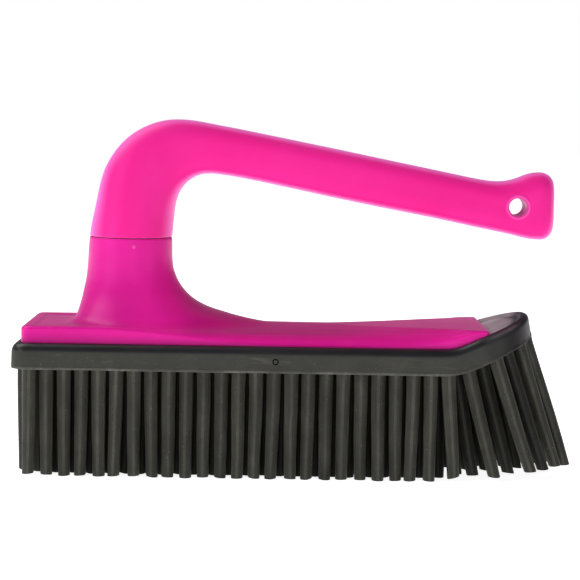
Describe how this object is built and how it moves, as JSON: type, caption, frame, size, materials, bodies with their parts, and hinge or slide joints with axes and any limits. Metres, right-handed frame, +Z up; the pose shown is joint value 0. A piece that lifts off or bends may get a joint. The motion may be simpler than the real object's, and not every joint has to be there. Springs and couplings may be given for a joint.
{
  "type": "rubber bristle hand brush",
  "caption": "Hand brush with a bent swivelling tube grip on a flared neck and plate, and a stretched-on rubber head with a rounded rim, swept-up toe and long tapered rubber bristles.",
  "frame": {"origin": "middle of the brush's length and width, on the plane of the bristle tips", "axes": "+X along the brush towards the swept-up toe, +Z up through the plate to the grip, Y=0 the plane of symmetry"},
  "size_m": [0.2502, 0.075, 0.1591],
  "materials": {
    "grip_plastic": "satin magenta",
    "base_plastic": "satin deep magenta",
    "black_rubber": "matt black",
    "hub_plastic": "moulded black nylon",
    "washer_plastic": "natural acetal",
    "ring_rubber": "black nitrile",
    "zinc_steel": "zinc plated",
    "spring_steel": "oiled spring steel"
  },
  "bodies": {
    "base": {"base_moulding": "base_plastic", "rubber_head": "black_rubber", "thrust_washer": "washer_plastic", "wave_washer": "spring_steel"},
    "grip": {"grip_shell_near": "grip_plastic", "grip_shell_far": "grip_plastic", "swivel_hub": "hub_plastic", "friction_ring": "ring_rubber", "pivot_bolt": "zinc_steel", "bolt_washer": "zinc_steel", "lock_nut": "zinc_steel"}
  },
  "joints": [
    {"name": "grip_swivel", "type": "hinge", "parent": "base", "child": "grip", "pos_m": [-0.0742, 0, 0.1051], "axis": [0, 0, 1], "continuous": true}
  ]
}
